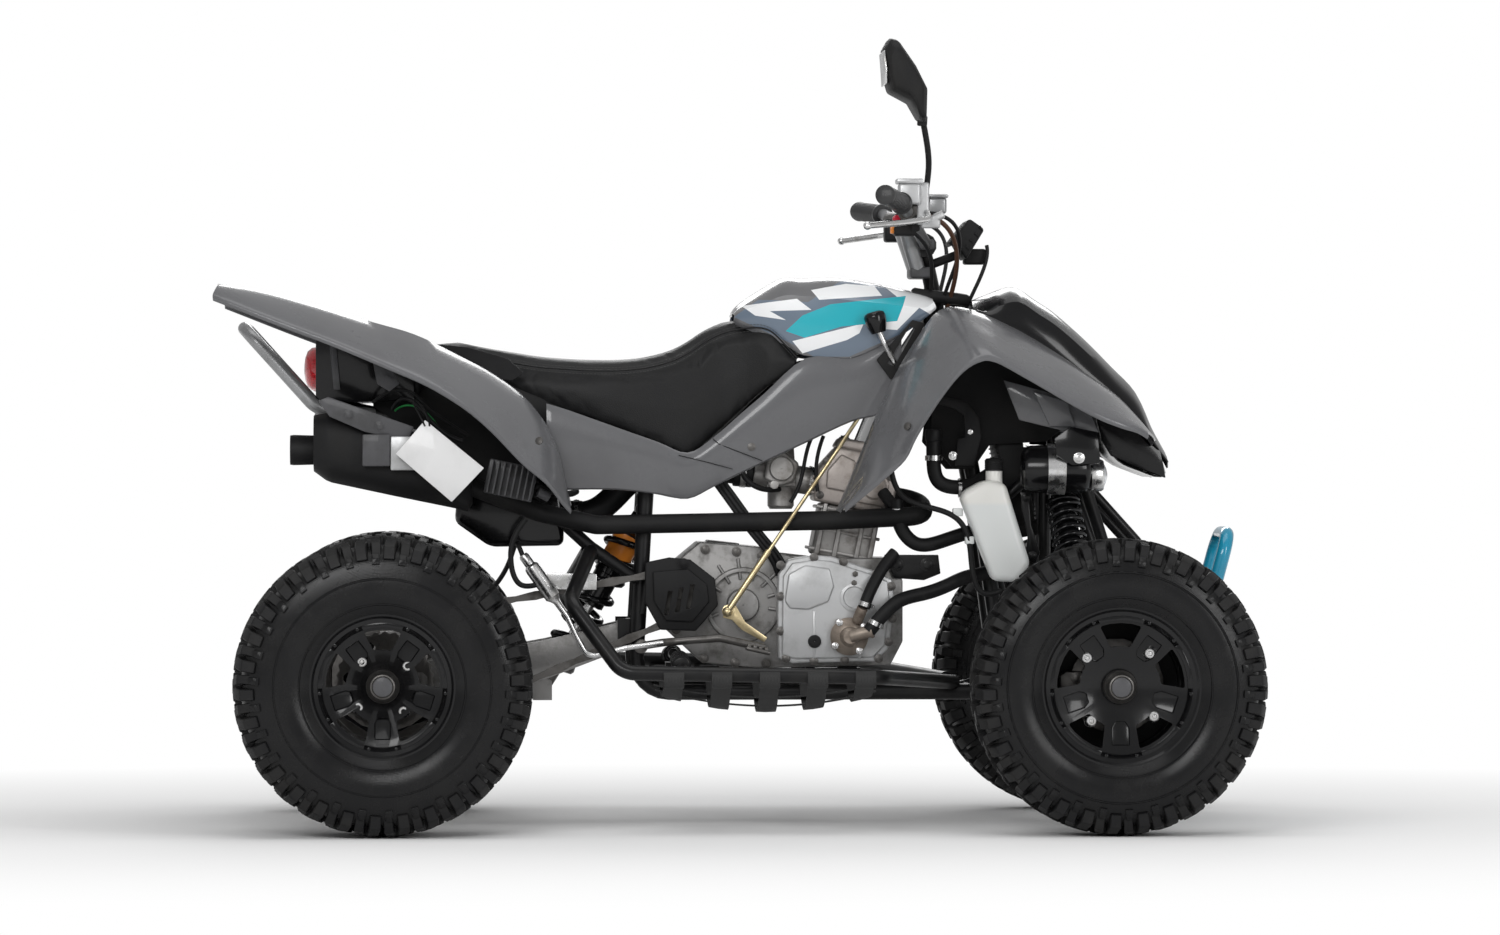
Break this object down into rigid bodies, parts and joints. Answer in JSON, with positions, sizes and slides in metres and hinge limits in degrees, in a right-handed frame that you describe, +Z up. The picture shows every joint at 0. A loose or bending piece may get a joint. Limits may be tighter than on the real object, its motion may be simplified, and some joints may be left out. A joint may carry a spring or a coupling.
{
  "type": "quad bike",
  "caption": "Sport quad bike with knobbly tyres, open tube frame, long black seat, grey mudguards, foot nets, front hoop and one mirror.",
  "frame": {"origin": "on the floor, below the middle of the overall length and width", "axes": "+X forward, +Y to the rider's left, +Z up"},
  "size_m": [1.8463, 1.12, 1.4055],
  "materials": {
    "black_frame": "gloss",
    "silver_tube": "gloss",
    "blue_tube": "gloss",
    "engine_case": "satin",
    "bronze": "satin",
    "black_plastic": "satin",
    "white_plastic": "translucent",
    "exhaust_black": "matt",
    "grey_plastic": "gloss",
    "seat_cover": "grained",
    "red_lens": "gloss",
    "steel": "satin",
    "black_alloy": "gloss",
    "tyre_rubber": "satin"
  },
  "bodies": {
    "chassis": {"airbox": "black_plastic", "brake_pedal": "black_frame", "carburettor": "engine_case", "coolant_bottle": "white_plastic", "drive_chain": "steel", "engine_crankcase": "engine_case", "engine_cylinder": "engine_case", "exhaust": "exhaust_black", "foot_bar_left": "black_frame", "foot_bar_right": "black_frame", "frame_cradle": "black_frame", "frame_front": "black_frame", "frame_upper": "black_frame", "front_bumper": "blue_tube", "front_fender_left": "grey_plastic", "front_fender_right": "grey_plastic", "front_shock_left": "steel", "front_shock_right": "steel", "gear_lever": "black_plastic", "generator_cover": "engine_case", "grab_bar": "silver_tube", "headlamps": "black_frame", "lower_arm_left": "black_frame", "lower_arm_right": "black_frame", "nose_panel": "black_plastic", "radiator": "black_plastic", "rear_fender_left": "grey_plastic", "rear_fender_right": "grey_plastic", "rear_shock": "steel", "regulator": "black_plastic", "seat": "seat_cover", "sprocket_cover": "black_plastic", "swingarm": "black_frame", "tail_lamps": "red_lens", "tail_panel": "black_plastic", "tank_cover": "grey_plastic", "upper_arm_left": "black_frame", "upper_arm_right": "black_frame", "water_pump": "bronze"},
    "steering": {"steering_stem": "black_frame", "handlebar": "steel", "hand_controls_left": "black_plastic", "hand_controls_right": "black_plastic", "mirror": "black_plastic", "dash": "black_plastic"},
    "knuckle_left": {"knuckle_left": "black_frame"},
    "knuckle_right": {"knuckle_right": "black_frame"},
    "tie_rod_left": {"tie_rod_left": "black_frame"},
    "tie_rod_right": {"tie_rod_right": "black_frame"},
    "front_wheel_left": {"front_hub_left": "steel", "front_rim_left": "black_alloy", "front_tyre_left": "tyre_rubber"},
    "front_wheel_right": {"front_hub_right": "steel", "front_rim_right": "black_alloy", "front_tyre_right": "tyre_rubber"},
    "rear_wheels": {"rear_axle": "steel", "rear_rim_left": "black_alloy", "rear_rim_right": "black_alloy", "rear_tyre_left": "tyre_rubber", "rear_tyre_right": "tyre_rubber"}
  },
  "joints": [
    {"name": "steering_turn", "type": "hinge", "parent": "chassis", "child": "steering", "pos_m": [0.522, 0, 0.29], "axis": [-0.2147, 0, 0.9767], "range_deg": [-36, 36]},
    {"name": "knuckle_turn_left", "type": "hinge", "parent": "chassis", "child": "knuckle_left", "pos_m": [0.6725, 0.371, 0.202], "axis": [-0.1336, -0.1485, 0.9798], "range_deg": [-26, 26]},
    {"name": "tie_rod_turn_left", "type": "hinge", "parent": "steering", "child": "tie_rod_left", "pos_m": [0.578, 0.018, 0.2685], "axis": [-0.2374, 0, 0.9714], "range_deg": [-37, 37]},
    {"name": "front_wheel_spin_left", "type": "hinge", "parent": "knuckle_left", "child": "front_wheel_left", "pos_m": [0.6665, 0.465, 0.26], "axis": [0, 1, 0], "continuous": true},
    {"name": "knuckle_turn_right", "type": "hinge", "parent": "chassis", "child": "knuckle_right", "pos_m": [0.6725, -0.371, 0.202], "axis": [-0.1336, 0.1485, 0.9798], "range_deg": [-26, 26]},
    {"name": "tie_rod_turn_right", "type": "hinge", "parent": "steering", "child": "tie_rod_right", "pos_m": [0.578, -0.018, 0.2685], "axis": [-0.2374, 0, 0.9714], "range_deg": [-37, 37]},
    {"name": "front_wheel_spin_right", "type": "hinge", "parent": "knuckle_right", "child": "front_wheel_right", "pos_m": [0.6665, -0.465, 0.26], "axis": [0, 1, 0], "continuous": true},
    {"name": "rear_axle_spin", "type": "hinge", "parent": "chassis", "child": "rear_wheels", "pos_m": [-0.6185, 0, 0.262], "axis": [0, 1, 0], "continuous": true}
  ],
  "couplings": [
    {"joint": "knuckle_turn_left", "follows": "steering_turn", "ratio": 0.68},
    {"joint": "tie_rod_turn_left", "follows": "steering_turn", "ratio": -0.99},
    {"joint": "knuckle_turn_right", "follows": "steering_turn", "ratio": 0.68},
    {"joint": "tie_rod_turn_right", "follows": "steering_turn", "ratio": -0.99}
  ]
}
